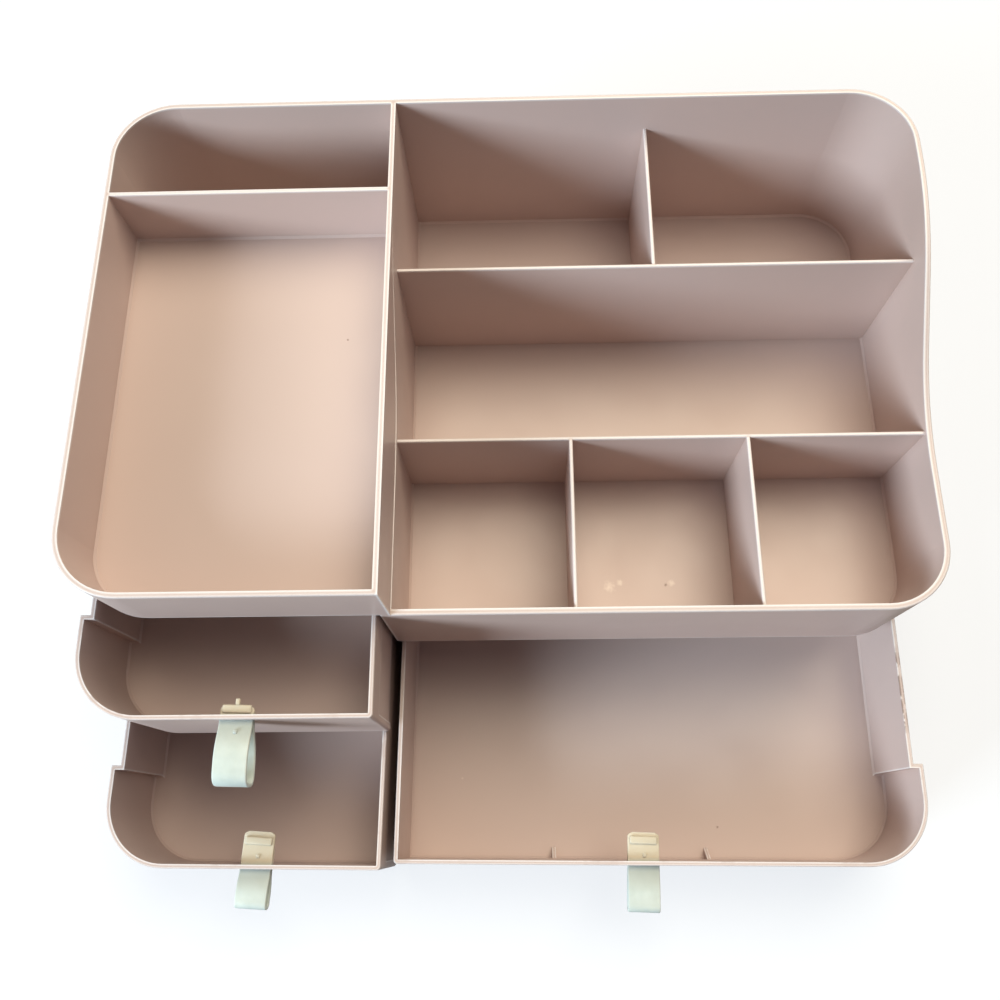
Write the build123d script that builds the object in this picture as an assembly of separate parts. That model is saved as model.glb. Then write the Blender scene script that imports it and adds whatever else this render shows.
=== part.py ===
from build123d import *
from math import cos, radians, sin, tan
import os

# Driving dimensions in millimetres: X to the right, Y to the back, Z up, the table at z = 0.
# While it is built, the housing's footprint is centred on the Z axis. At the end the whole model is
# moved, so that the origin is under the middle of the object with its drawers pulled out.
WIDTH = 320.0
DEPTH = 205.0
HEIGHT = 130.0
CORNER = 25.0
WALL = 2.0
DRAFT = 0.5

# Trays and wells on top of the housing
DIVIDER_X = -47.4
DIVIDER_T = 1.9
WEB_T = 1.4
LOW_RIM_Z = 98.0
LOW_WEB_Z = 96.9
HIGH_WEB_Z = 111.7
TRAY_FLOOR_Z = 100.2
WELL_FLOOR_Z = 49.6
FLOOR_T = 1.5
TRAY_DEPTH = 159.3
ROW_FRONT = 66.6
ROW_MIDDLE = 66.0
SWEEP_BACK_Y = 70.0
SWEEP_FRONT_Y = -48.0
SWEEP_ANGLE = 24.5
RIM_ROUND = 0.6
SHORT_RIM = 2.4
WEB_ROUND = 0.5
WEB_ROOT = 0.5
FLOOR_BEVEL = 0.9
BEVEL_ANGLE = 45
LAP_ROUND = 1.5
FRONT_CELLS = 3
BACK_CELLS = 2

# Cabinet under the trays
PARTITION_T = 1.4
PARTITION_X = -49.4
TUB_GAP = 0.45
BAY_BACK_GAP = 0.5
SHELF_T = 1.6
BASE_T = 2.0
FOOT_D = 12.0
FOOT_H = 2.0
FOOT_LIFT = 1.5
FOOT_BEVEL = 0.5
FIT = 0.1
GROOVE = 0.8
HOOK_W = 7.6
HOOK_H = 5.0
HOOK_PLAY = 0.3
HOOK_ROOT = 0.5
SIDE_HOOK_Y = (-20.0, 55.0)
BACK_HOOK_X = 90.0
LEDGE = 1.4
LEDGE_ROOT = 0.5
LEDGE_END = 2.0
TAB_W = 12.0
TAB_Y = (-70.0, -10.0, 40.0)
FOOT_IN_X = 25.0
FOOT_IN_Y = 22.5

# Drawers. Their bays are loose, and the two lower ones stand a little askew when they are pulled out.
LEFT_WIDTH = 109.3
RIGHT_WIDTH = 207.0
LEFT_LENGTH = 157.5
RIGHT_LENGTH = 199.0
FASCIA_LEN = 38.0
FASCIA_Z0 = 2.0
FASCIA_DROP = 2.0
FASCIA_GAP = 0.6
DRAWER_WALL = 1.6
DRAWER_FLOOR_T = 1.6
STACK_GAP = 0.8
SIDE_GAP = 1.7
SIDE_STEP = 0.6
SIDE_STEP_DROP = 15.0
FRONT_FLANGE = 3.0
INNER_EDGE_R = 1.5
BACK_R = 3.0
DRAWER_RIM_BEVEL = 0.3
LIP_BEVEL = 0.5
DRAWER_FLOOR_BEVEL = 0.8
GUSSET = 4.5
GUSSET_H = 9.0
GUSSET_T = 1.5
GUSSET_ROOT = 0.5
GUSSET_X = (15.8, 80.0)
RUNNER_W = 2.0
RUNNER_H = 0.25
RUNNER_ROOT = 0.5
RUNNER_IN = 12.0
RUNNER_END = 19.0
UPPER_LEFT_OPEN = 36.5
LOWER_LEFT_OPEN = 86.7
RIGHT_OPEN = 88.6
UPPER_LEFT_ASIDE = -0.9
LOWER_LEFT_ASIDE = -3.3
RIGHT_ASIDE = -2.4
LOWER_LEFT_SKEW = 0.85
RIGHT_SKEW = 0.7

# Pull straps
STRAP_W = 12.2
STRAP_T = 1.3
SLOT_W = 13.2
SLOT_H = 3.4
SLOT_ROUND = 0.4
SLOT_DROP = 2.6
LEFT_STRAP_X = -99.5
RIGHT_STRAP_X = 49.6
STRAP_SPACE = 0.2
STRAP_LEAD = 1.5
LOWER_SHORT = 5.0
BAR_L = 2.6
BAR_H = 1.1
BAR_W = 11.0
BAR_ROUND = 0.5
SWELL_START = 0.45
FOLD_BY_BELLY = 0.4
FOLD_BY_LOOP = 0.133
UPPER_LEFT_PULL = {"loop": 25.0, "belly": 11.0, "droop": 3.5, "tab": 5.1, "bar_y": 2.4, "lean": 3.5}
LOWER_LEFT_PULL = {"loop": 15.5, "belly": 5.2, "droop": 0.6, "tab": 13.6, "bar_y": 8.7, "lean": 3.2}
RIGHT_PULL = {"loop": 18.5, "belly": 4.6, "droop": 0.4, "tab": 11.7, "bar_y": 7.4, "lean": 4.3}

# Derived positions
X0 = -WIDTH / 2
X1 = WIDTH / 2
Y0 = -DEPTH / 2
Y1 = DEPTH / 2
IN_X0 = X0 + WALL
IN_X1 = X1 - WALL
IN_Y0 = Y0 + WALL
IN_Y1 = Y1 - WALL
INNER_CORNER = CORNER - WALL
DIV_L = DIVIDER_X - DIVIDER_T / 2
DIV_R = DIVIDER_X + DIVIDER_T / 2
ROW1_Y = IN_Y0 + ROW_FRONT
ROW2_Y = ROW1_Y + WEB_T + ROW_MIDDLE
SLOT_WEB_Y = IN_Y0 + TRAY_DEPTH
TRAY_UNDER_Z = TRAY_FLOOR_Z - FLOOR_T
WELL_UNDER_Z = WELL_FLOOR_Z - FLOOR_T
PART_L = PARTITION_X - PARTITION_T / 2
PART_R = PARTITION_X + PARTITION_T / 2
TUB_L = PART_R + TUB_GAP
BAY_BACK_Y = SLOT_WEB_Y - BAY_BACK_GAP
SIDE_FRONT_Y = Y0 + FASCIA_LEN + FASCIA_GAP
BASE_TOP_Z = FOOT_LIFT + BASE_T
SHELL_Z0 = BASE_TOP_Z + FIT
INSET = WALL + SIDE_GAP
UPPER_RIM_Z = TRAY_UNDER_Z - STACK_GAP
RIGHT_RIM_Z = WELL_UNDER_Z - STACK_GAP
LEFT_DRAWER_H = (UPPER_RIM_Z - STACK_GAP - FASCIA_Z0) / 2
LOWER_RIM_Z = FASCIA_Z0 + LEFT_DRAWER_H
UPPER_Z0 = LOWER_RIM_Z + STACK_GAP
OVER = 1.0
TINY = 1e-3


def outline(x0, x1, y0, y1, fl=0.0, fr=0.0, br=0.0, bl=0.0):
    """A rectangle with its own radius at the front-left, front-right, back-right and back-left."""
    face = Pos((x0 + x1) / 2, (y0 + y1) / 2) * Rectangle(x1 - x0, y1 - y0)
    for x, y, r in ((x0, y0, fl), (x1, y0, fr), (x1, y1, br), (x0, y1, bl)):
        if r > 0:
            face = fillet(face.vertices().sort_by_distance((x, y, 0))[0], r)
    return face


def block(face, z0, z1):
    return extrude(Pos(0, 0, z0) * face, amount=z1 - z0)


def box(x0, x1, y0, y1, z0, z1):
    return Pos((x0 + x1) / 2, (y0 + y1) / 2, (z0 + z1) / 2) * Box(x1 - x0, y1 - y0, z1 - z0)


def pocket(face, z_top, z_floor, taper, bevel):
    """A cavity whose walls lean in by the draft towards a floor with a bevelled edge."""
    walls = extrude(Pos(0, 0, z_top) * face, amount=z_floor + bevel - z_top, taper=taper)
    foot = walls.faces().sort_by(Axis.Z)[0]
    return walls + extrude(foot, amount=bevel, dir=(0, 0, -1), taper=BEVEL_ANGLE)


def tray(x0, x1, y0, y1, z_floor):
    """A tray cavity between two sides, cut to the inner outline of the walls."""
    inner = outline(IN_X0, IN_X1, IN_Y0, IN_Y1, INNER_CORNER, INNER_CORNER, INNER_CORNER, INNER_CORNER)
    face = inner & outline(x0, x1, y0, y1)
    return pocket(face, HEIGHT, z_floor, DRAFT, FLOOR_BEVEL)


def web(x0, x1, y0, y1, z_top, z_foot):
    """A thin upright wall, thicker at its foot, with a rounded top edge."""
    centre = Pos((x0 + x1) / 2, (y0 + y1) / 2)
    face = Rectangle(x1 - x0, y1 - y0)
    shoulder = z_top - 2 * WEB_ROUND
    cap = block(centre * face, shoulder, z_top)
    along = Axis.X if x1 - x0 > y1 - y0 else Axis.Y
    cap = fillet(cap.edges().filter_by(along).group_by(Axis.Z)[-1], WEB_ROUND)
    return cap + extrude(Pos(0, 0, shoulder) * centre * face, amount=z_foot - shoulder, taper=-DRAFT / 2)


def sweep_cut():
    """Everything above the right rim, which falls from back to front in an arc, a straight and an arc."""
    slope = radians(SWEEP_ANGLE)
    reach = (SWEEP_BACK_Y - SWEEP_FRONT_Y - (HEIGHT - LOW_RIM_Z) / tan(slope)) / 2
    radius = reach / tan(slope / 2) - TINY
    top = HEIGHT + WALL
    rim = FilletPolyline((SWEEP_BACK_Y, HEIGHT), (SWEEP_BACK_Y - reach, HEIGHT),
                         (SWEEP_FRONT_Y + reach, LOW_RIM_Z), (SWEEP_FRONT_Y, LOW_RIM_Z), radius=radius)
    rest = Polyline((SWEEP_FRONT_Y, LOW_RIM_Z), (Y0 - WALL, LOW_RIM_Z), (Y0 - WALL, top),
                    (SWEEP_BACK_Y, top), (SWEEP_BACK_Y, HEIGHT))
    face = make_face(rim.edges() + rest.edges())
    return extrude(Plane.YZ.offset(DIV_R) * face, amount=X1 + WALL - DIV_R)


def shell_body():
    """The outer form with its rounded rim, before the trays and bays are cut."""
    shell = block(outline(X0, X1, Y0, Y1, CORNER, CORNER, CORNER, CORNER), SHELL_Z0, HEIGHT)
    shell -= sweep_cut()
    rim = shell.edges().filter_by(lambda e: e.center().Z > LOW_RIM_Z - TINY and e.length > SHORT_RIM)
    beside_divider = rim.filter_by(lambda e: abs(e.bounding_box().max.X - DIV_R) < TINY
                                   and e.bounding_box().min.Y > Y0 - TINY)
    return fillet(ShapeList([e for e in rim if e not in beside_divider]), RIM_ROUND)


def tray_dividers():
    """Webs of the right-hand wells: two across, two in the front row and one at the back."""
    bite = WALL / 2
    left = DIV_R - bite
    right = IN_X1 + bite
    foot = WELL_FLOOR_Z - WEB_ROOT
    clear = IN_X1 - DIV_R
    webs = [web(left, right, ROW1_Y, ROW1_Y + WEB_T, LOW_WEB_Z, foot),
            web(left, right, ROW2_Y, ROW2_Y + WEB_T, HIGH_WEB_Z, foot)]
    for n in range(1, FRONT_CELLS):
        x = DIV_R + n * (clear + WEB_T) / FRONT_CELLS - WEB_T
        webs.append(web(x, x + WEB_T, IN_Y0 - bite, ROW1_Y + WEB_T / 2, LOW_WEB_Z, foot))
    for n in range(1, BACK_CELLS):
        x = DIV_R + n * (clear + WEB_T) / BACK_CELLS - WEB_T
        webs.append(web(x, x + WEB_T, ROW2_Y + WEB_T / 2, IN_Y1 + bite, HIGH_WEB_Z, foot))
    return webs


def hook_places():
    """Where the base's hooks stand on the inner faces of the walls, each turned to face its wall."""
    places = [Pos(IN_X0, y, 0) for y in SIDE_HOOK_Y]
    places += [Pos(IN_X1, y, 0) * Rot(0, 0, 180) for y in SIDE_HOOK_Y]
    places += [Pos(x, IN_Y1, 0) * Rot(0, 0, -90) for x in (-BACK_HOOK_X, BACK_HOOK_X)]
    return places


def housing_shell():
    """One moulding: outer walls, trays on top, open drawer bays below."""
    shell = shell_body()
    shell -= tray(IN_X0, DIV_L, IN_Y0, SLOT_WEB_Y, TRAY_FLOOR_Z)
    shell -= tray(IN_X0, DIV_L, SLOT_WEB_Y + WEB_T, IN_Y1, WELL_FLOOR_Z)
    shell -= tray(DIV_R, IN_X1, IN_Y0, IN_Y1, WELL_FLOOR_Z)
    for piece in tray_dividers():
        shell += piece

    # Bays for the drawers. The side walls stop behind the fascias, which carry the outline on.
    shell -= block(outline(IN_X0, IN_X1, IN_Y0, IN_Y1, 0, 0, INNER_CORNER, INNER_CORNER), 0, WELL_UNDER_Z)
    shell -= box(IN_X0, TUB_L, IN_Y0, BAY_BACK_Y, 0, TRAY_UNDER_Z)
    shell -= box(X0 - OVER, X1 + OVER, Y0 - OVER, SIDE_FRONT_Y, 0, WELL_UNDER_Z)
    shell -= box(X0 - OVER, PART_L, Y0 - OVER, SIDE_FRONT_Y, 0, TRAY_UNDER_Z)

    # Seats: a groove and a ledge for the shelf, a groove for the partition, recesses for the base's hooks.
    shell -= box(IN_X0 - GROOVE, IN_X0 + OVER, SIDE_FRONT_Y - OVER, BAY_BACK_Y,
                 UPPER_Z0 - FIT, UPPER_Z0 + SHELF_T + FIT)
    shell += box(IN_X0 + LEDGE_END, PART_L - LEDGE_END, BAY_BACK_Y - LEDGE, BAY_BACK_Y + LEDGE_ROOT,
                 UPPER_Z0 - FIT - LEDGE, UPPER_Z0 - FIT)
    shell -= box(PART_L - FIT, PART_R + FIT, IN_Y0, BAY_BACK_Y, TRAY_UNDER_Z - OVER, TRAY_UNDER_Z + GROOVE / 2)
    recess = Box(2 * GROOVE, HOOK_W + 2 * HOOK_PLAY, HOOK_H + 2 * HOOK_PLAY)
    for place in hook_places():
        shell -= place * Pos(0, 0, SHELL_Z0 + HOOK_H / 2) * recess
    corner = shell.edges().filter_by(Axis.Y).sort_by_distance((PART_L, Y0 + WALL / 2, WELL_UNDER_Z))[0]
    return fillet(corner, LAP_ROUND)


def base_plate():
    """Floor of the cabinet, with a groove for the partition, hooks for the shell and seats for the feet.

    Behind it is as wide as the walls that it carries; in front it stays behind the lips of the fascias.
    """
    rear = outline(X0, X1, SIDE_FRONT_Y, Y1, 0, 0, CORNER, CORNER)
    front = outline(X0 + INSET, X1 - INSET, Y0 + INSET, SIDE_FRONT_Y + OVER, CORNER - INSET, CORNER - INSET)
    plate = block(rear + front, FOOT_LIFT, BASE_TOP_Z)
    plate -= box(PART_L - FIT, PART_R + FIT, Y0, IN_Y1, BASE_TOP_Z - GROOVE, BASE_TOP_Z + OVER)
    hook = Pos(-GROOVE / 2, 0, HOOK_H / 2 - HOOK_ROOT / 2) * Box(GROOVE - FIT, HOOK_W, HOOK_H + HOOK_ROOT)
    for place in hook_places():
        plate += place * Pos(0, 0, BASE_TOP_Z) * hook
    for x, y in FEET.values():
        plate -= Pos(x, y, FOOT_LIFT) * Cylinder(FOOT_D / 2 + FIT, FOOT_H - FOOT_LIFT,
                                                 align=(Align.CENTER, Align.CENTER, Align.MIN))
    return plate


def centre_partition():
    """Upright plate between the drawer stacks, notched under the deep rear tray."""
    foot = BASE_TOP_Z - GROOVE + FIT
    front = IN_Y0 + FIT
    plate = box(PART_L, PART_R, front, BAY_BACK_Y - FIT, foot, TRAY_UNDER_Z + GROOVE / 2 - FIT)
    plate += box(PART_L, PART_R, front, IN_Y1 - FIT, foot, WELL_UNDER_Z - FIT)
    for y in TAB_Y:
        plate -= box(PART_L - OVER, PART_R + OVER, y - TAB_W / 2 - FIT, y + TAB_W / 2 + FIT,
                     UPPER_Z0 - FIT, UPPER_Z0 + SHELF_T + FIT)
    return plate


def drawer_shelf():
    """Shelf between the two left drawers: tongue in the side wall, tabs through the partition."""
    edge = INSET + FIT
    back = BAY_BACK_Y - FIT
    sheet = outline(X0 + edge, PART_L - FIT, Y0 + edge, back, CORNER - edge)
    sheet += outline(IN_X0 - GROOVE + FIT, X0 + edge + OVER, SIDE_FRONT_Y + FIT, back)
    for y in TAB_Y:
        sheet += outline(PART_L - OVER, PART_R - FIT, y - TAB_W / 2, y + TAB_W / 2)
    return block(sheet, UPPER_Z0, UPPER_Z0 + SHELF_T)


def drawer(width, length, z0, z_rim, rear_r, strap_x, gussets=()):
    """A drawer with its outer side at x = 0 and its front at y = 0; rear_r rounds its outer rear corner.

    The fascia continues the housing's outline round the corner and hangs lower than the body, so
    that it hides the edge of the shelf or base that the body slides on.
    """
    jog = FASCIA_LEN - DRAWER_WALL
    under = z0 + FASCIA_DROP
    fascia = block(outline(0, width, 0, FASCIA_LEN, CORNER, INNER_EDGE_R), z0, z_rim)
    case = fascia + block(outline(INSET, width, jog, length, 0, 0, BACK_R, rear_r), under, z_rim)
    case = chamfer(case.faces().sort_by(Axis.Z)[-1].edges(), DRAWER_RIM_BEVEL)
    foot = case.edges().filter_by(lambda e: e.bounding_box().max.Z < z0 + TINY and e.center().Y < jog)
    case = chamfer(foot, LIP_BEVEL)

    lip = outline(DRAWER_WALL, width + OVER, DRAWER_WALL, FASCIA_LEN + OVER, CORNER - DRAWER_WALL)
    case -= block(lip, z0 - OVER, under)
    step_z = z_rim - SIDE_STEP_DROP
    case -= box(width - SIDE_STEP, width + OVER, FRONT_FLANGE, length + OVER, z0 - OVER, step_z)
    case -= box(-OVER, INSET + SIDE_STEP, FASCIA_LEN, length + OVER, z0 - OVER, step_z)

    floor = under + DRAWER_FLOOR_T
    inner = width - DRAWER_WALL
    front = outline(DRAWER_WALL, inner, DRAWER_WALL, jog, CORNER - DRAWER_WALL)
    back = outline(INSET + DRAWER_WALL, inner, CORNER + DRAWER_WALL, length - DRAWER_WALL,
                   0, 0, BACK_R - DRAWER_WALL, rear_r - DRAWER_WALL)
    case -= pocket(front + back, z_rim, floor, 0, DRAWER_FLOOR_BEVEL)
    for x in gussets:
        root = DRAWER_WALL - GUSSET_ROOT
        rib = make_face(Polyline((root, floor - GUSSET_ROOT), (DRAWER_WALL + GUSSET, floor - GUSSET_ROOT),
                                 (DRAWER_WALL + GUSSET, floor), (root, floor + GUSSET_H),
                                 (root, floor - GUSSET_ROOT)))
        case += extrude(Plane.YZ.offset(x - GUSSET_T / 2) * rib, amount=GUSSET_T)
    for x in (RUNNER_IN, width - RUNNER_IN):
        case += box(x - RUNNER_W / 2, x + RUNNER_W / 2, FASCIA_LEN, length - RUNNER_END,
                    under - RUNNER_H, under + RUNNER_ROOT)
    slot = Plane.XZ * Pos(strap_x, z_rim - SLOT_DROP - SLOT_H / 2) * RectangleRounded(SLOT_W, SLOT_H, SLOT_ROUND)
    return case - extrude(slot, amount=2 * DRAWER_WALL, both=True)


def pull_strap(loop, belly, droop, tab, bar_y, lean):
    """A silicone loop through the slot, at the slot's centre: y = 0 is the front face of the wall.

    Both layers pass the slot one above the other. The upper one ends in a tab with a raised bar
    that stops against the wall, and the loop outside swells and sags a little.
    """
    layer = (STRAP_T + STRAP_SPACE) / 2
    half = belly / 2
    swell = -STRAP_LEAD - (loop - STRAP_LEAD) * SWELL_START
    corners = [(tab, layer), (-STRAP_LEAD, layer), (swell, half - droop / 2), (-loop, half - droop),
               (-loop, -half - droop), (swell, -half - droop / 2), (-STRAP_LEAD, -layer),
               (max(tab - LOWER_SHORT, DRAWER_WALL + BAR_L), -layer)]
    run = FilletPolyline(*corners, radius=min(belly * FOLD_BY_BELLY, loop * FOLD_BY_LOOP))
    band = trace(run, STRAP_T)
    strap = extrude(Plane.YZ.offset(-STRAP_W / 2) * band, amount=STRAP_W)
    top = layer + STRAP_T / 2
    bar = Pos(0, bar_y + BAR_L / 2, top) * Box(BAR_W, BAR_L, 2 * BAR_H)
    strap += fillet(bar.edges().filter_by(Axis.X), BAR_ROUND)
    return Rot(0, 0, -lean) * strap


def rubber_foot(x, y):
    foot = Cylinder(FOOT_D / 2, FOOT_H, align=(Align.CENTER, Align.CENTER, Align.MIN))
    return Pos(x, y, 0) * chamfer(foot.edges().sort_by(Axis.Z)[0], FOOT_BEVEL)


FEET = {
    "foot_front_left": (X0 + FOOT_IN_X, Y0 + FOOT_IN_Y),
    "foot_front_right": (X1 - FOOT_IN_X, Y0 + FOOT_IN_Y),
    "foot_rear_left": (X0 + FOOT_IN_X, Y1 - FOOT_IN_Y),
    "foot_rear_right": (X1 - FOOT_IN_X, Y1 - FOOT_IN_Y),
}
left = LEFT_STRAP_X - X0
right = X1 - RIGHT_STRAP_X
case_right = mirror(drawer(RIGHT_WIDTH, RIGHT_LENGTH, FASCIA_Z0, RIGHT_RIM_Z, CORNER - INSET, right,
                           [X1 - x for x in GUSSET_X]), about=Plane.YZ)
upper_left = Pos(X0 + UPPER_LEFT_ASIDE, Y0 - UPPER_LEFT_OPEN, 0)
lower_left = Pos(X0 + LOWER_LEFT_ASIDE, Y0 - LOWER_LEFT_OPEN, 0) * Rot(0, 0, -LOWER_LEFT_SKEW)
lower_right = Pos(X1 + RIGHT_ASIDE, Y0 - RIGHT_OPEN, 0) * Rot(0, 0, -RIGHT_SKEW)
slot_below = SLOT_DROP + SLOT_H / 2
parts = {
    "housing_shell": housing_shell(),
    "base_plate": base_plate(),
    "centre_partition": centre_partition(),
    "drawer_shelf": drawer_shelf(),
    "drawer_upper_left": upper_left * drawer(LEFT_WIDTH, LEFT_LENGTH, UPPER_Z0, UPPER_RIM_Z, BACK_R, left),
    "drawer_lower_left": lower_left * drawer(LEFT_WIDTH, LEFT_LENGTH, FASCIA_Z0, LOWER_RIM_Z, BACK_R, left),
    "drawer_right": lower_right * case_right,
    "pull_upper_left": upper_left * Pos(left, 0, UPPER_RIM_Z - slot_below)
    * pull_strap(**UPPER_LEFT_PULL),
    "pull_lower_left": lower_left * Pos(left, 0, LOWER_RIM_Z - slot_below)
    * pull_strap(**LOWER_LEFT_PULL),
    "pull_right": lower_right * Pos(-right, 0, RIGHT_RIM_Z - slot_below)
    * pull_strap(**RIGHT_PULL),
}
for name, (x, y) in FEET.items():
    parts[name] = rubber_foot(x, y)

whole = [part.bounding_box() for part in parts.values()]
move_x = -(min(b.min.X for b in whole) + max(b.max.X for b in whole)) / 2
move_y = -(min(b.min.Y for b in whole) + max(b.max.Y for b in whole)) / 2
parts = {name: Pos(move_x, move_y, 0) * part for name, part in parts.items()}

os.makedirs("parts", exist_ok=True)
for name, part in parts.items():
    export_step(part, f"parts/{name}.step")
    low, high = part.bounding_box().min, part.bounding_box().max
    print(f"{name}: {len(part.solids())} solid, {part.volume / 1000:.1f} cm3, "
          f"x {low.X:.1f} to {high.X:.1f}, y {low.Y:.1f} to {high.Y:.1f}, z {low.Z:.1f} to {high.Z:.1f}")
print(f"moved by {move_x:.4f}, {move_y:.4f}")
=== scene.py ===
# %% [markdown]
# # A vanity organiser with open wells and pull-out drawers
# The object is a low pink box of injection-moulded plastic: trays and wells on top, three drawers
# below, and a loop of soft silicone through the front of each drawer to pull it by. The exact
# solids come from the CAD model. This script gives them their finishes, models the soft straps
# anew, and sets the light and the camera.

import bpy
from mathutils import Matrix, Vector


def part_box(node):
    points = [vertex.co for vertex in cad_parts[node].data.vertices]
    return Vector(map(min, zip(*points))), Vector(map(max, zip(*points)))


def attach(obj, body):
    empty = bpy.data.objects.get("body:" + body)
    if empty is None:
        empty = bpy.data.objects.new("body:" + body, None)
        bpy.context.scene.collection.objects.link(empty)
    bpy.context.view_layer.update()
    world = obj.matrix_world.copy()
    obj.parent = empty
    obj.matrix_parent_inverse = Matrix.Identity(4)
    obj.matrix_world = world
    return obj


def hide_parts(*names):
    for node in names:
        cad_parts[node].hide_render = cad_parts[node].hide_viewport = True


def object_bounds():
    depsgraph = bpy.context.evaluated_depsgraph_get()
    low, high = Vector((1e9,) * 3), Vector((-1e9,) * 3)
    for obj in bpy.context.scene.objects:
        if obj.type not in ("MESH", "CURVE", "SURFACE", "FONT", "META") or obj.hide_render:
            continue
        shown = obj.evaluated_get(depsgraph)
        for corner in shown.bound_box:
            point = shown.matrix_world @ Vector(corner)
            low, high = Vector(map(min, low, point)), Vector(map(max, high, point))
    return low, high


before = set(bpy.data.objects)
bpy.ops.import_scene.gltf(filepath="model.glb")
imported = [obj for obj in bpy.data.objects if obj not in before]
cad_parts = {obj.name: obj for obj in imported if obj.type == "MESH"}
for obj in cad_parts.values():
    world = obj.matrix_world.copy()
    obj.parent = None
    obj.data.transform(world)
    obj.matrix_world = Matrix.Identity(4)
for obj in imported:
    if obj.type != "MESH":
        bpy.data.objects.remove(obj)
cad_box = [[float(value) for value in corner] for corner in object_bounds()]
print("CAD box in metres:", cad_box)
print("nodes:", ", ".join(sorted(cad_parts)))

# %% [markdown]
# Blender counts in metres, but straps and wear are easier to judge in millimetres, so those sizes
# are written in millimetres and multiplied by MM. Blender's shaders work in linear light, while
# colours are usually read off a screen as hex codes, so each code is converted where it is named.

# %% Units and colours
from math import cos, pi, radians, sin, sqrt

import bmesh
import bpy
from mathutils import Matrix, Vector

MM = 0.001


def linear(hex_colour):
    """The linear RGBA of a colour that is written as a hex code, by the standard sRGB curve."""
    channels = [int(hex_colour[i:i + 2], 16) / 255 for i in (0, 2, 4)]
    return [c / 12.92 if c <= 0.04045 else ((c + 0.055) / 1.055) ** 2.4 for c in channels] + [1.0]


print("one millimetre is", MM, "of a Blender unit")

# %% [markdown]
# ## Materials as formulas
# A material can be wired by hand in the shader editor, but its maths reads best as plain formulas.
# This small class wraps a node socket and turns the Python operators into Math nodes, so a mask
# can be written as `1 - mask * 0.3`.


# %% A socket that does arithmetic
class Value:
    """A number that varies over the surface: the output socket of a node in one material."""

    def __init__(self, recipe, socket):
        self.recipe = recipe
        self.socket = socket

    def _math(self, operation, *inputs):
        return self.recipe.node("ShaderNodeMath", {"operation": operation},
                                {place: value for place, value in enumerate(inputs)})

    def __add__(self, other):
        return self._math("ADD", self, other)

    def __sub__(self, other):
        return self._math("SUBTRACT", self, other)

    def __mul__(self, other):
        return self._math("MULTIPLY", self, other)

    def __radd__(self, other):
        return self._math("ADD", other, self)

    def __rsub__(self, other):
        return self._math("SUBTRACT", other, self)

    def __rmul__(self, other):
        return self._math("MULTIPLY", other, self)

    def _ramp(self, start, end, at_start, at_end):
        """A clamped Map Range node: its inputs 0 to 4 are the value and the two ranges."""
        return self.recipe.node("ShaderNodeMapRange", None,
                                {0: self, 1: start, 2: end, 3: at_start, 4: at_end})

    def over(self, start, width):
        """0 below start, rising to 1 at start + width, and 1 above."""
        return self._ramp(start, start + width, 0.0, 1.0)

    def under(self, end, width):
        """1 below end - width, falling to 0 at end, and 0 above."""
        return self._ramp(end - width, end, 1.0, 0.0)


print("a Value takes +, -, *, over and under")

# %% [markdown]
# Every other node comes from one method of the class below. It takes the node's type, its
# settings, and the numbers or links of its sockets, and hands back one output. The masks that the
# finishes share are methods too. The edges to wear and to give a painted highlight are found by an
# Ambient Occlusion node: rays cast inside the wall find its outer edges, and rays cast outside find
# its hollows, where shade is painted. Painting them by hand would give more freedom, but it would
# have to be done again whenever a solid changes.

# %% Sizes that the masks share
LEVEL_FROM, LEVEL_OVER = 0.75, 0.2
EDGE_RAYS = 4
SPECK_FADE = 0.4
RAGGED = 1100.0
print("marks are ragged", RAGGED, "times a metre")


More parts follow.
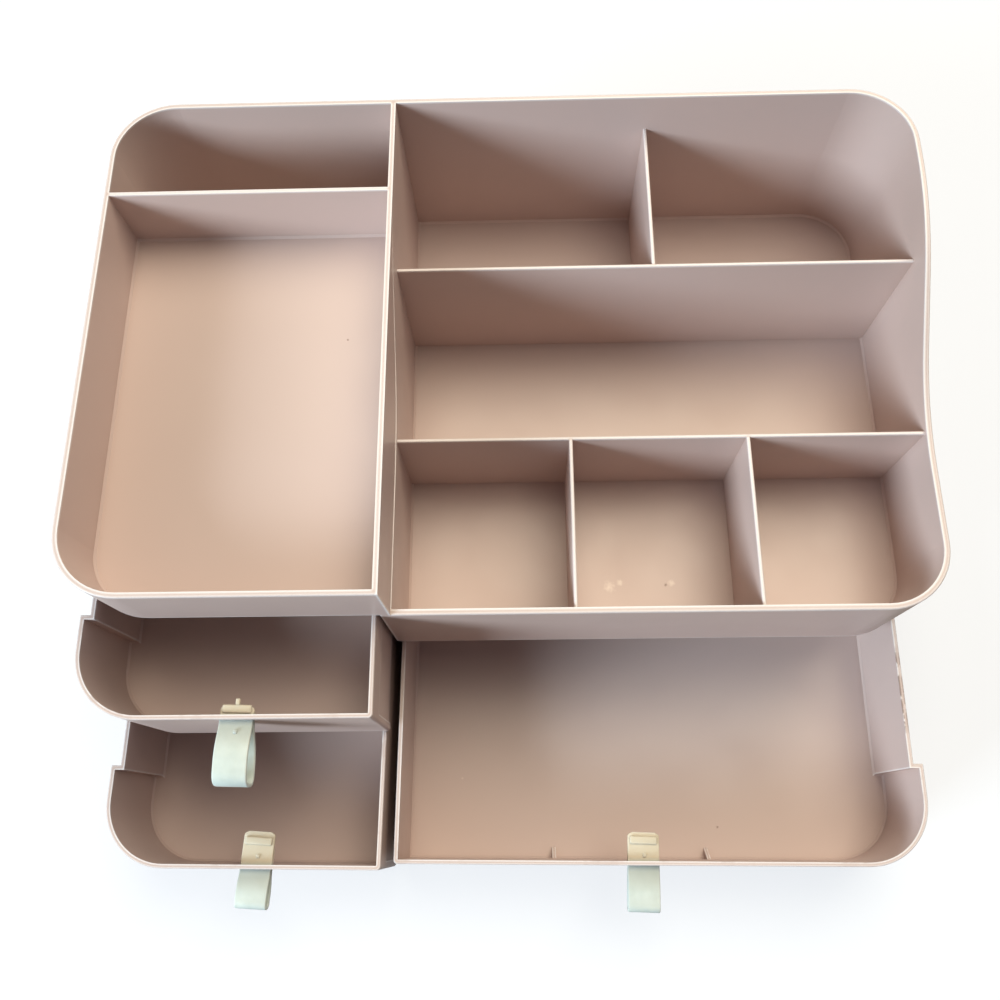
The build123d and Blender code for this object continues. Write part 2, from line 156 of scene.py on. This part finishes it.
# %% A material as a recipe of nodes
class Recipe:
    """One material, made node by node around its Principled shader."""

    def __init__(self, name, **constants):
        self.material = bpy.data.materials.new(name)
        self.material.use_nodes = True
        self.tree = self.material.node_tree
        self.shader = next(n for n in self.tree.nodes if n.type == "BSDF_PRINCIPLED")
        for socket, value in constants.items():
            self.shader.inputs[socket.replace("_", " ")].default_value = value
        self.place = self.node("ShaderNodeTexCoord", out="Object")

    def node(self, kind, settings=None, inputs=None, out=0):
        made = self.tree.nodes.new(kind)
        for name, value in (settings or {}).items():
            setattr(made, name, value)
        for name, value in (inputs or {}).items():
            if isinstance(value, Value):
                self.tree.links.new(value.socket, made.inputs[name])
            else:
                made.inputs[name].default_value = value
        return Value(self, made.outputs[out])

    def feed(self, socket, value):
        self.tree.links.new(value.socket, self.shader.inputs[socket])

    def bump(self, height, depth, strength):
        self.feed("Normal", self.node("ShaderNodeBump", None,
                                      {"Strength": strength, "Distance": depth, "Height": height}))

    def axis(self, index):
        """The place along X, Y or Z (index 0, 1 or 2), in metres."""
        return self.node("ShaderNodeSeparateXYZ", None, {0: self.place}, out=index)

    def noise(self, scale, detail, roughness=0.5):
        return self.node("ShaderNodeTexNoise", None,
                         {"Vector": self.place, "Scale": scale, "Detail": detail,
                          "Roughness": roughness})

    def between(self, low, high, mask):
        """The colour low where the mask is 0 and high where it is 1 (a Mix node's inputs 6, 7)."""
        return self.node("ShaderNodeMix", {"data_type": "RGBA"}, {0: mask, 6: low, 7: high}, out=2)

    def facing_up(self):
        normal = self.node("ShaderNodeNewGeometry", out="Normal")
        height = self.node("ShaderNodeSeparateXYZ", None, {0: normal}, out=2)
        return height.over(LEVEL_FROM, LEVEL_OVER)

    def corners(self, reach, inside):
        """1 within reach of a surface's outer edges if inside is true, else of its hollows."""
        open_share = self.node("ShaderNodeAmbientOcclusion",
                               {"samples": EDGE_RAYS, "inside": inside},
                               {"Distance": reach}, out="AO")
        return 1 - open_share

    def specks(self, cell, size, share, offset):
        """Round specks of one size, one in a share of the cells of a loose grid."""
        moved = self.node("ShaderNodeVectorMath", {"operation": "ADD"},
                          {0: self.place, 1: (offset, 0, 0)})
        grid = {"Vector": moved, "Scale": 1 / cell}
        away = self.node("ShaderNodeTexVoronoi", None, grid, out="Distance")
        near = away.under(size / cell, SPECK_FADE * size / cell)
        lot = self.node("ShaderNodeTexVoronoi", None, grid, out="Color")
        picked = self.node("ShaderNodeSeparateColor", None, {0: lot}).over(1 - share, 0.01)
        return near * picked

    def mark(self, x, y, size):
        """1 in a small ragged patch at one place in millimetres, as seen from above."""
        flat = self.node("ShaderNodeVectorMath", {"operation": "MULTIPLY"},
                         {0: self.place, 1: (1, 1, 0)})
        away = self.node("ShaderNodeVectorMath", {"operation": "DISTANCE"},
                         {0: flat, 1: (x * MM, y * MM, 0)}, out="Value")
        ragged = (self.noise(RAGGED, 3.0) - 0.5) * (size * MM)
        return (away + ragged).under(0.6 * size * MM, 0.5 * size * MM)


print("ready to mix materials")

# %% [markdown]
# ## The case plastic
# The box is moulded in a dusty pink polypropylene with a satin skin. The melt leaves a slow drift
# of colour, the mould a fine grain, and thin walls never cool quite flat. Use adds paler edges
# where hands and brushes rub, which also carry a painted highlight where the rims catch the light,
# and a few specks. The hollows get painted shade, a darker brown. All of it is mixed from noise on
# the object's own coordinates, in metres, so it needs no unwrapping and stays sharp from close by.
# An image texture would need both.

# %% Colours of the plastic
PINK = linear("ccb6b0")
PINK_DEEP = linear("c7b0a8")
# The pale edge colour is partly wear and partly a painted highlight on rims that catch the light.
PALE_WEAR_AND_HIGHLIGHT = linear("f4efef")
# A darker brown, painted into the hollows as shade.
PAINTED_HOLLOW_SHADE = linear("a48272")
CHALK = linear("f1e2d6")
CRUMB = linear("7b5a4c")
RUB_BROWN = linear("8c6552")
print("plastic, linear RGB:", [round(c, 3) for c in PINK[:3]])

# %% How often a metre the skin varies, and what lies on it
DRIFT, SINK, SMEAR, GRAIN = 7.0, 16.0, 38.0, 1500.0
SKIN_DEPTH, SKIN_STRENGTH, GRAIN_SHARE = 0.0006, 0.5, 0.012
SATIN = 0.34
# How far the painted shade reaches out of a hollow, in millimetres.
HOLLOW_SHADE_REACH = 3.5
CHALK_SPECKS = {"cell": 22 * MM, "size": 0.9 * MM, "share": 0.12, "offset": 0.0}
CRUMB_SPECKS = {"cell": 35 * MM, "size": 0.45 * MM, "share": 0.10, "offset": 0.4}
print("the sheen varies around a roughness of", SATIN)


# %% The plastic's recipe
def moulded_plastic(name, edge_reach, pale_marks, dark_marks):
    """The case plastic, with edges worn and given a painted highlight to a reach in millimetres,
    painted shade in its hollows, and marks at (x, y, size).
    """
    plastic = Recipe(name, IOR=1.49, Specular_IOR_Level=0.55)
    up = plastic.facing_up()
    edges = plastic.corners(edge_reach * MM, inside=True)
    hollows = plastic.corners(HOLLOW_SHADE_REACH * MM, inside=False)
    drift = plastic.noise(DRIFT, 2.0)
    grain = plastic.noise(GRAIN, 2.0)
    smear = plastic.noise(SMEAR, 4.0, 0.6)

    colour = plastic.between(PINK_DEEP, PINK, drift.over(0.3, 0.4))
    # Painted shade: the hollows are darkened towards brown.
    colour = plastic.between(colour, PAINTED_HOLLOW_SHADE, hollows * 0.30)
    # Pale edges: partly wear, partly a painted highlight where the rims catch the light.
    colour = plastic.between(colour, PALE_WEAR_AND_HIGHLIGHT, (edges * 1.6).over(0.1, 0.5) * 0.95)
    chalk = plastic.specks(**CHALK_SPECKS) * up
    crumbs = plastic.specks(**CRUMB_SPECKS)
    colour = plastic.between(colour, CHALK, chalk * 0.7)
    colour = plastic.between(colour, CRUMB, crumbs * 0.8)
    for x, y, size in pale_marks:
        colour = plastic.between(colour, CHALK, plastic.mark(x, y, size) * up * 0.5)
    for x, y, size in dark_marks:
        colour = plastic.between(colour, CRUMB, plastic.mark(x, y, size) * 0.8)

    sheen = SATIN + grain * 0.06 + smear.over(0.4, 0.3) * 0.09
    plastic.feed("Roughness", sheen + edges * 0.1 + chalk * 0.2)
    plastic.bump(grain * GRAIN_SHARE + plastic.noise(SINK, 1.0), SKIN_DEPTH, SKIN_STRENGTH)
    return plastic, colour, edges


# The reach of the painted shade in the hollows.
print("the powder reaches", HOLLOW_SHADE_REACH, "mm out of a hollow")

# %% [markdown]
# Two recipes come from it. The case has pale dabs and a dark spot on the floor of its middle front
# well, and a dark spot in its high tray. The drawers' walls are thin, so their edge wear and
# painted
# highlight have a shorter reach: with a longer one the rays would cross the wall and turn all of it
# pale. The drawers' rims also show brown rubbing. The right drawer has a dark spot on its floor and
# a scraped stretch on its right rim.

# %% The case
CASE_EDGE = 1.1
CASE_DABS = [(39.6, -27.5, 4.4), (44.0, -25.8, 2.8), (65.3, -26.3, 3.0)]
CASE_SPOTS = [(-65.4, 63.1, 0.9), (63.0, -27.0, 1.4)]
case_plastic, colour, _ = moulded_plastic("case_plastic", CASE_EDGE, CASE_DABS, CASE_SPOTS)
case_plastic.feed("Base Color", colour)
print("made", case_plastic.material.name)

# %% The drawers
DRAWER_EDGE = 0.75
DRAWER_SPOTS = [(84.8, -122.4, 1.1)]
SCRAPED_RIGHT_OF = 0.150
SCRAPED_FROM, SCRAPED_TO, SCRAPED_FADE = -0.090, -0.052, 0.006
drawer_plastic, colour, edges = moulded_plastic("drawer_plastic", DRAWER_EDGE, [], DRAWER_SPOTS)
patches = drawer_plastic.noise(60.0, 3.0, 0.65).over(0.57, 0.08)
colour = drawer_plastic.between(colour, RUB_BROWN, patches * edges.over(0.15, 0.3) * 0.55)
across, along = drawer_plastic.axis(0), drawer_plastic.axis(1)
scraped = (across.over(SCRAPED_RIGHT_OF, 0.001) * along.over(SCRAPED_FROM, SCRAPED_FADE)
           * along.under(SCRAPED_TO, SCRAPED_FADE))
streaks = drawer_plastic.noise(320.0, 3.0).over(0.44, 0.08) * scraped
colour = drawer_plastic.between(colour, CRUMB, streaks * edges.over(0.05, 0.15) * 0.8)
drawer_plastic.feed("Base Color", colour)
print("made", drawer_plastic.material.name)

# %% [markdown]
# ## The silicone of the straps
# The straps are cast in a milky silicone: soft, a little translucent, with lint that clings to the
# skin. Subsurface scattering gives the milkiness, which a plain diffuse white would miss. Close
# to the drawer's front the band gets a painted shade, and the part that stays in the drawer gets a
# painted warm reflection of the pink drawer. Both follow the place along Y, so each strap has a
# recipe of its own.

# %% Colours of the silicone, and where they change, in millimetres in front of the wall
MILK = linear("d2d8d2")
MILK_DEEP = linear("c6cdc7")
# Painted warm reflection of the pink drawer on the part of the strap inside it.
PAINTED_WARM_REFLECTION = linear("d8c8b0")
LINT = linear("a3978d")
# Painted shade on the loop next to the drawer's front.
PAINTED_STRAP_SHADE = linear("a2a6a0")
# Where the painted shade and the painted warm reflection begin, and over how much they fade.
STRAP_SHADE_FROM, STRAP_SHADE_OVER = 12, 7
WARM_REFLECTION_FROM, WARM_REFLECTION_OVER = 1, 2
LINT_SPECKS = {"cell": 5 * MM, "size": 0.22 * MM, "share": 0.35, "offset": 0.1}
MILKY_DEPTH = 0.003
MILKY_REACH = (1.0, 0.9, 0.75)
print("silicone, linear RGB:", [round(c, 3) for c in MILK[:3]])


# %% Milky silicone
def silicone(name, wall_y):
    """The strap's rubber, with painted shade in front of the drawer's front, whose inner face is at
    wall_y, and a painted warm reflection behind it.
    """
    rubber = Recipe(name, IOR=1.41, Subsurface_Weight=0.25, Subsurface_Scale=MILKY_DEPTH,
                    Specular_IOR_Level=0.35)
    rubber.shader.inputs["Subsurface Radius"].default_value = MILKY_REACH
    along = rubber.axis(1)
    cloud = rubber.noise(130.0, 3.0)
    edges = rubber.corners(0.6 * MM, inside=True)
    colour = rubber.between(MILK_DEEP, MILK, cloud.over(0.35, 0.3))
    # Painted shade on the loop near the wall.
    strap_shade = along.over(wall_y - STRAP_SHADE_FROM * MM, STRAP_SHADE_OVER * MM)
    colour = rubber.between(colour, PAINTED_STRAP_SHADE, strap_shade * 0.7)
    # Painted warm reflection on the part inside the drawer.
    warm_reflection = along.over(wall_y - WARM_REFLECTION_FROM * MM, WARM_REFLECTION_OVER * MM)
    colour = rubber.between(colour, PAINTED_WARM_REFLECTION, warm_reflection * 0.85)
    colour = rubber.between(colour, MILK, edges * 0.4)
    colour = rubber.between(colour, LINT, rubber.specks(**LINT_SPECKS) * 0.5)
    rubber.feed("Base Color", colour)
    rubber.feed("Roughness", 0.42 + cloud * 0.16)
    rubber.bump(rubber.noise(900.0, 2.0), 0.0001, 0.4)
    return rubber


print("light reaches", MILKY_DEPTH, "m into the silicone")

# %% [markdown]
# ## The feet
# Four small rubber feet carry the box. They only show from below, so a matt grey with dust and
# scuffs does, and the same dusty noise serves for colour, roughness and bump.

# %% Foot rubber
FOOT_GREY, FOOT_DUST, FOOT_SCUFF = linear("a9a49f"), linear("bdb8b3"), linear("8d8782")
foot_rubber = Recipe("foot_rubber", IOR=1.5, Specular_IOR_Level=0.3)
dust = foot_rubber.noise(400.0, 3.0)
scuffs = foot_rubber.noise(90.0, 4.0, 0.7).over(0.5, 0.2)
dusty = foot_rubber.between(FOOT_GREY, FOOT_DUST, dust)
foot_rubber.feed("Base Color", foot_rubber.between(dusty, FOOT_SCUFF, scuffs * 0.4))
foot_rubber.feed("Roughness", 0.68 + dust * 0.2)
foot_rubber.bump(dust, 0.00005, 0.5)
print("made", foot_rubber.material.name)

# %% [markdown]
# ## The solids get their finishes
# Each solid comes with its material slot. Filling the slot that is there leaves the exact mesh of
# the solid alone. The shelf under the upper drawer belongs to the case, though its name starts
# like a drawer's. The solids of the straps are dressed too, and replaced further down.

# %% Dress the solids
for name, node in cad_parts.items():
    if name.startswith("foot"):
        finish = foot_rubber
    elif name.startswith("drawer_") and name != "drawer_shelf":
        finish = drawer_plastic
    else:
        finish = case_plastic
    for place in node.material_slots:
        place.material = finish.material
    print(name, "gets", finish.material.name)

# %% [markdown]
# ## Soft straps
# Each strap is one flat band. Both of its ends pass through the slot in the drawer's front, one
# above the other. The upper end carries a raised bar that stops against the wall, and the rest is
# the loop for a fingertip, which swells and sags a little. A curve with a bevel could sweep such a
# band, but its taper would thin the ends where they should only get narrower. So the path is
# worked out as points with rounded folds, and a ring of the section is laid round each.

# %% Sizes of every strap, in millimetres
BAND = 12.2
THICK = 1.3
ROUND = 0.38
END_ROUND = 1.6
GAP = 0.2
LEAD = 1.5
WALL = 1.6
SLOT_BELOW_RIM = 4.3
SWELL_AT = 0.45
LOWER_END_SHORTER = 5.0
LOWER_END_LEAST = 2.6
print("each band is", BAND, "mm wide and", THICK, "mm thick")

# %% Sizes of each strap, in millimetres and degrees from the slot on the drawer's front face
STRAPS = {
    "pull_upper_left": {"body": "upper_left_drawer", "drawer": "drawer_upper_left",
                        "skew": 0.0, "loop": 22.0, "belly": 10.4, "droop": 3.2,
                        "tab": 5.1, "bar": 2.4, "lean": 1.8, "peg": -4.2},
    "pull_lower_left": {"body": "lower_left_drawer", "drawer": "drawer_lower_left",
                        "skew": 0.85, "loop": 13.9, "belly": 5.2, "droop": 0.6,
                        "tab": 13.6, "bar": 8.7, "lean": 3.2, "peg": 4.6},
    "pull_right": {"body": "right_drawer", "drawer": "drawer_right",
                   "skew": 0.7, "loop": 16.5, "belly": 4.6, "droop": 0.4,
                   "tab": 11.7, "bar": 7.4, "lean": 1.6, "peg": 3.4},
}
print("loops of", ", ".join(f"{sizes['loop']} mm" for sizes in STRAPS.values()))

# %% The path of a band
FOLD_STEPS = 9
CLOSEST, LONGEST = 0.02, 0.8


def folded(corners, reach):
    """A line through the corners, each a soft fold that starts and ends at reach from it."""
    line = [Vector(corners[0])]
    for before, corner, after in zip(corners, corners[1:], corners[2:]):
        before, corner, after = Vector(before), Vector(corner), Vector(after)
        room = min(reach, (before - corner).length / 2, (after - corner).length / 2)
        start = corner + (before - corner).normalized() * room
        end = corner + (after - corner).normalized() * room
        for step in range(FOLD_STEPS + 1):
            t = step / FOLD_STEPS
            line.append(start * (1 - t) ** 2 + corner * 2 * t * (1 - t) + end * t ** 2)
    line.append(Vector(corners[-1]))
    return [point for n, point in enumerate(line)
            if n == 0 or (point - line[n - 1]).length > CLOSEST]


def finer(line, longest):
    """The same line with its long stretches divided."""
    points = [line[0]]
    for point in line[1:]:
        start = points[-1]
        parts = max(1, round((point - start).length / longest))
        points += [start.lerp(point, n / parts) for n in range(1, parts + 1)]
    return points


def strap_path(loop, belly, droop, tab):
    """From the tab's end out through the slot, round the loop and back in below, as (y, z)."""
    layer = (THICK + GAP) / 2
    half = belly / 2
    swell = -LEAD - (loop - LEAD) * SWELL_AT
    lower_end = max(tab - LOWER_END_SHORTER, WALL + LOWER_END_LEAST)
    corners = [(tab, layer), (-LEAD, layer), (swell, half - droop / 2), (-loop, half - droop),
               (-loop, -half - droop), (swell, -half - droop / 2), (-LEAD, -layer),
               (lower_end, -layer)]
    return folded(corners, min(0.9 * half, loop / 5))


print("a fold has", FOLD_STEPS, "steps")

# %% The solid of a band
EDGE_STEPS = 4


def band_section():
    """The cross-section of the band as (across, above) points, with rounded edges."""
    points = []
    for corner, (x, z) in enumerate(((1, 1), (-1, 1), (-1, -1), (1, -1))):
        centre = (x * (BAND / 2 - ROUND), z * (THICK / 2 - ROUND))
        for step in range(EDGE_STEPS + 1):
            angle = (corner + step / EDGE_STEPS) * pi / 2
            points.append((centre[0] + ROUND * cos(angle), centre[1] + ROUND * sin(angle)))
    return points


def sweep_band(mesh, line):
    """Adds the band along a line in the plane x = 0, with its two ends rounded in plan."""
    line = finer(line, LONGEST)
    length = [0.0]
    for before, after in zip(line, line[1:]):
        length.append(length[-1] + (after - before).length)
    rings = []
    for n, centre in enumerate(line):
        tangent = (line[min(n + 1, len(line) - 1)] - line[max(n - 1, 0)]).normalized()
        above = Vector((-tangent.y, tangent.x)) * -1
        end = min(length[n], length[-1] - length[n])
        trim = END_ROUND - sqrt(max(0.0, END_ROUND ** 2 - max(0.0, END_ROUND - end) ** 2))
        share = 1 - trim / (BAND / 2)
        rings.append([mesh.verts.new((across * share, centre.x + above.x * out,
                                      centre.y + above.y * out))
                      for across, out in band_section()])
    for ring, following in zip(rings, rings[1:]):
        for n in range(len(ring)):
            mesh.faces.new((ring[n], ring[n - 1], following[n - 1], following[n]))
    mesh.faces.new(rings[0])
    mesh.faces.new(reversed(rings[-1]))


print("the section has", len(band_section()), "points")

# %% [markdown]
# The bar, the small peg and the tip are cast with the band, so they have its soft edges. A cube
# with bevelled edges, sunk a little into the band, makes each of them. On the upper left strap the
# peg sits on the loop, in front of the wall, and its short tab ends in a narrow tip.

# %% Blocks on the band, in millimetres
BAR, BAR_EDGE, BAR_LIFT = (10.6, 2.9, 1.5), 0.55, 0.2
PEG, PEG_EDGE, PEG_LIFT, PEG_ASIDE = (1.5, 1.5, 0.9), 0.4, 0.1, 0.4
TIP, TIP_EDGE = (1.6, 3.0, 1.2), 0.4


def soft_block(mesh, centre, size, edge):
    """Adds a block with rounded edges."""
    shape = Matrix.Translation(centre) @ Matrix.Diagonal((*size, 1))
    made = bmesh.ops.create_cube(mesh, size=1.0, matrix=shape)
    lines = {line for vert in made["verts"] for line in vert.link_edges}
    bmesh.ops.bevel(mesh, geom=list(lines), offset=edge, segments=3, profile=0.5, affect="EDGES")


print("the bar is", BAR[0], "mm wide")

# %% [markdown]
# A strap is built around its slot, turned with its drawer and by its own lean, and moved to where
# the solid of the strap is: the same middle, the same rear end, and the slot's depth below the
# drawer's rim. It then takes the place of that solid and rides on the drawer's body.

# %% Make the three straps
CREASE = radians(50)


def make_strap(name, body, drawer, skew, loop, belly, droop, tab, bar, lean, peg):
    mesh = bmesh.new()
    line = strap_path(loop, belly, droop, tab)
    sweep_band(mesh, line)
    top = (THICK + GAP) / 2 + THICK / 2
    soft_block(mesh, (0, bar + BAR[1] / 2, top + BAR_LIFT), BAR, BAR_EDGE)
    under = min(line, key=lambda point: abs(point.x - peg) - point.y)
    peg_z = (under.y if peg < 0 else top - THICK / 2) + THICK / 2 + PEG_LIFT
    soft_block(mesh, (PEG_ASIDE, peg, peg_z), PEG, PEG_EDGE)

    turn = Matrix.Rotation(radians(-skew - lean), 4, "Z")
    corners = [turn @ vertex.co * MM for vertex in mesh.verts]
    low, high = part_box(name)
    _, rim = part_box(drawer)
    place = Vector(((low.x + high.x - min(c.x for c in corners) - max(c.x for c in corners)) / 2,
                    high.y - max(c.y for c in corners), rim.z - SLOT_BELOW_RIM * MM))
    if peg < 0:
        soft_block(mesh, (0, bar + BAR[1] + TIP[1] / 4, top), TIP, TIP_EDGE)
    bmesh.ops.recalc_face_normals(mesh, faces=mesh.faces)
    for edge in mesh.edges:
        edge.smooth = edge.calc_face_angle(0.0) < CREASE
    for face in mesh.faces:
        face.smooth = True

    data = bpy.data.meshes.new(name)
    mesh.transform(Matrix.Translation(place) @ Matrix.Scale(MM, 4) @ turn)
    mesh.to_mesh(data)
    mesh.free()
    strap = bpy.data.objects.new(name + "_soft", data)
    bpy.context.scene.collection.objects.link(strap)
    finish = silicone(name + "_silicone", high.y - (tab - WALL) * MM)
    data.materials.append(finish.material)
    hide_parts(name)
    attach(strap, body)
    return strap


for name, sizes in STRAPS.items():
    strap = make_strap(name, **sizes)
    print(strap.name, "has", len(strap.data.polygons), "faces")

# %% [markdown]
# ## Floor
# The box stands on a plain floor that should keep its soft shadow and yet be white all round, as in
# a catalogue picture. A shadow catcher would do that, but its picture has to be laid over white
# afterwards. Here the floor is a plain plane that tells rays apart: to the camera it is pale and
# only about a third as solid, and to the light that bounces it is greyer, so it throws less back
# onto the box. It fades out with distance, so that no horizon shows from low down.

# %% White floor
FLOOR_WIDTH = 6.0
FLOOR_END, FLOOR_FADE = 1.1, 0.7
FLOOR_TO_CAMERA, FLOOR_TO_LIGHT = linear("f2f5ff"), linear("a9a5a1")
SEE_THROUGH = 0.65
ground = cad_box[0][2]
bpy.ops.mesh.primitive_plane_add(size=FLOOR_WIDTH, location=(0.0, 0.0, ground))
floor = bpy.context.object
floor.name = "floor"
floor_paint = Recipe("floor_paint", Roughness=0.9, Specular_IOR_Level=0.1)
seen = floor_paint.node("ShaderNodeLightPath", out="Is Camera Ray")
floor_paint.feed("Base Color", floor_paint.between(FLOOR_TO_LIGHT, FLOOR_TO_CAMERA, seen))
far = floor_paint.node("ShaderNodeVectorMath", {"operation": "LENGTH"}, {0: floor_paint.place},
                       out="Value")
floor_paint.feed("Alpha", far.under(FLOOR_END, FLOOR_FADE) * (1 - seen * SEE_THROUGH))
floor.data.materials.append(floor_paint.material)
print("floor at height", ground)

# %% [markdown]
# ## Light
# Two sources light the box. A cool window on the left, low and a little in front, draws the
# slanting shadow lines on the wells' walls. A broad warm light from the ceiling, behind and to the
# right, fills the wells. A picture of a room could light the scene too, but two lamps can be set
# one by one. Their size makes the soft edge of the shadows.

# %% Lamps: places and sizes in metres, power in watts
WINDOW = {"place": (-1.38, -0.87, 0.77), "size": (0.8, 0.6), "power": 38.8,
          "colour": (0.737, 0.905, 1.0)}
CEILING = {"place": (0.34, 0.64, 1.5), "size": (1.3, 1.3), "power": 29.3,
           "colour": (1.0, 0.93, 0.735)}
MIDDLE = Vector((0.0, 0.0, 0.06))


def shine(name, place, size, power, colour):
    """Hangs a rectangular lamp that points at the middle of the box."""
    lamp = bpy.data.lights.new(name, "AREA")
    lamp.shape = "RECTANGLE"
    lamp.size, lamp.size_y = size
    lamp.energy = power
    lamp.color = colour
    holder = bpy.data.objects.new(name, lamp)
    bpy.context.scene.collection.objects.link(holder)
    holder.location = place
    holder.rotation_euler = (MIDDLE - Vector(place)).to_track_quat("-Z", "Y").to_euler()
    print(name, "with", power, "watts")


shine("window", **WINDOW)
shine("ceiling", **CEILING)

# %% [markdown]
# The surroundings do two jobs: they light the box very faintly from all sides, and they are the
# white behind it. A Light Path node lets one world do both, because only a ray that comes straight
# from the camera gets the white.

# %% Surroundings, dim for the object and white for the camera
AMBIENT, AMBIENT_STRENGTH = linear("f6f4fd"), 0.15
world = bpy.data.worlds.new("room")
world.use_nodes = True
nodes, links = world.node_tree.nodes, world.node_tree.links
ambient = nodes["Background"]
ambient.inputs["Color"].default_value = AMBIENT
ambient.inputs["Strength"].default_value = AMBIENT_STRENGTH
white = nodes.new("ShaderNodeBackground")
white.inputs["Color"].default_value = (1.0, 1.0, 1.0, 1.0)
white.inputs["Strength"].default_value = 1.0
path = nodes.new("ShaderNodeLightPath")
mix = nodes.new("ShaderNodeMixShader")
links.new(path.outputs["Is Camera Ray"], mix.inputs[0])
links.new(ambient.outputs[0], mix.inputs[1])
links.new(white.outputs[0], mix.inputs[2])
links.new(mix.outputs[0], nodes["World Output"].inputs["Surface"])
bpy.context.scene.world = world
print("surroundings:", world.name)

# %% [markdown]
# ## Camera
# The camera stands over the front of the box and looks down and back into it, from so near that
# the wells fan out. A camera can be matched by eye, but here its place, its turn and its focal
# length were worked out together from corners of the box whose sizes are known. The place is given
# from the middle of the housing's front, at the height of the high rim, so it follows the box.

# %% Camera: the eye in millimetres, the turn in degrees, the lens in pixels of the picture
EYE = Vector((3.3, -75.2, 314.4))
TURN = (19.437, 1.410, -0.387)
FOCAL = 966.4
CENTRE = (504.5, 492.0)
PICTURE = 1000.0
SENSOR = 36.0
NEAREST = 0.01
housing_low, housing_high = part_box("housing_shell")
front_rim = Vector(((housing_low.x + housing_high.x) / 2, housing_low.y, housing_high.z))
lens = bpy.data.cameras.new("camera")
lens.sensor_width = SENSOR
lens.lens = FOCAL * lens.sensor_width / PICTURE
lens.shift_x = (PICTURE / 2 - CENTRE[0]) / PICTURE
lens.shift_y = (CENTRE[1] - PICTURE / 2) / PICTURE
lens.clip_start = NEAREST
camera = bpy.data.objects.new("camera", lens)
bpy.context.scene.collection.objects.link(camera)
camera.location = front_rim + EYE * MM
camera.rotation_euler = [radians(angle) for angle in TURN]
bpy.context.scene.camera = camera
bpy.context.scene.view_settings.view_transform = "Standard"
print("camera at", [round(value, 3) for value in camera.location])
